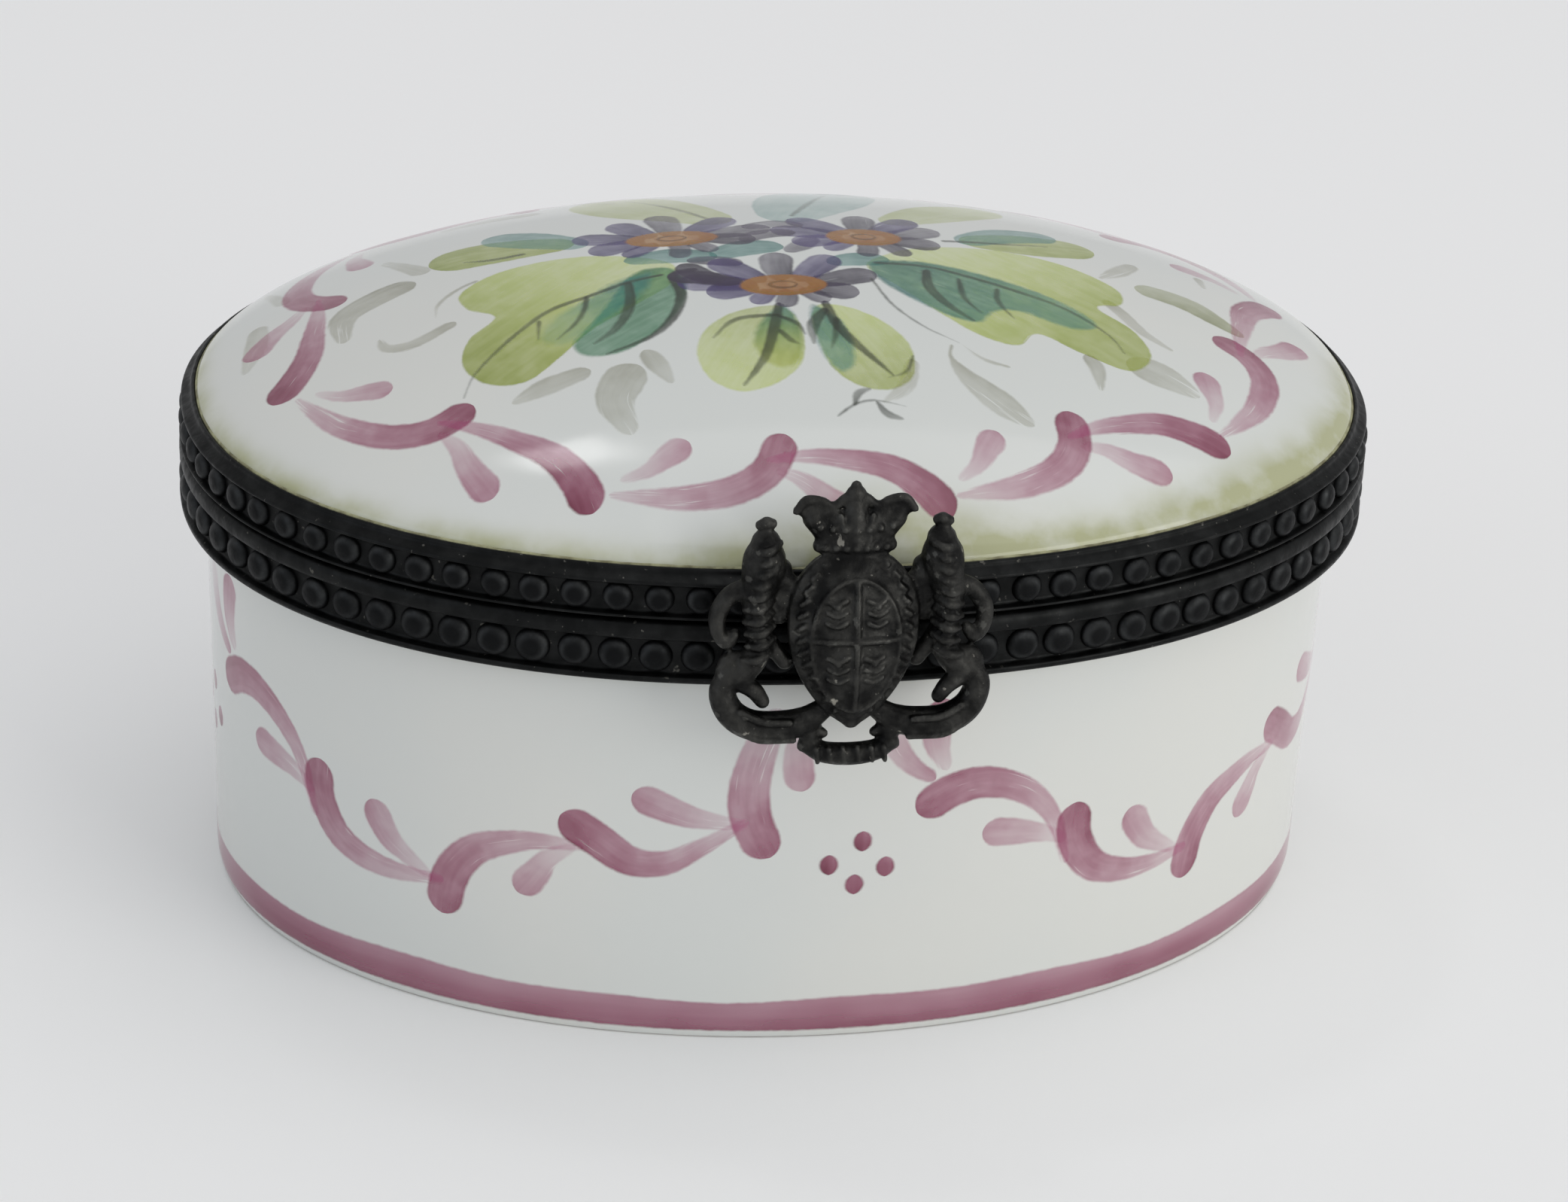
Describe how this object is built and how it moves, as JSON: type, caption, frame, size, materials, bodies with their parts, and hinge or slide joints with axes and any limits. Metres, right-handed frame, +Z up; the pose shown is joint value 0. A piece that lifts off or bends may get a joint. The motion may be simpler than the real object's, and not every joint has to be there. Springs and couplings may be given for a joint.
{
  "type": "hinged pill box",
  "caption": "Oval porcelain pill box with a domed lid, beaded dark metal bezels, a back hinge and an ornamental front clasp.",
  "frame": {"origin": "centre of the box's footprint, on the surface that it stands on", "axes": "+X along the long axis of the oval, to the right when the clasp faces the viewer; -Y out of the front, where the clasp is; +Z up"},
  "size_m": [0.0602, 0.0501, 0.0329],
  "materials": {
    "porcelain": "white glazed porcelain with hand-painted enamel flowers and garlands",
    "dark_bezel_metal": "cast and stamped brass with an almost black patina, slightly worn on the high spots",
    "cement": "aged yellowish setting cement",
    "bright_metal": "dull worn metal"
  },
  "bodies": {
    "base": {"base_shell": "porcelain", "base_bezel": "dark_bezel_metal", "base_bead_wire": "dark_bezel_metal", "base_cement": "cement", "base_hinge_leaf": "dark_bezel_metal", "base_knuckle_1": "dark_bezel_metal", "base_knuckle_2": "dark_bezel_metal", "base_knuckle_3": "dark_bezel_metal", "hinge_pin": "bright_metal", "catch_nib": "bright_metal"},
    "lid": {"lid_shell": "porcelain", "lid_bezel": "dark_bezel_metal", "lid_bead_wire": "dark_bezel_metal", "lid_cement": "cement", "lid_hinge_leaf": "dark_bezel_metal", "lid_knuckle_1": "dark_bezel_metal", "lid_knuckle_2": "dark_bezel_metal", "clasp_crest": "dark_bezel_metal", "clasp_mount": "dark_bezel_metal", "clasp_tongue": "bright_metal"}
  },
  "joints": [
    {"name": "lid_hinge", "type": "hinge", "parent": "base", "child": "lid", "pos_m": [0, 0.02375, 0.0238], "axis": [-1, 0, 0], "range_deg": [0, 105]}
  ]
}
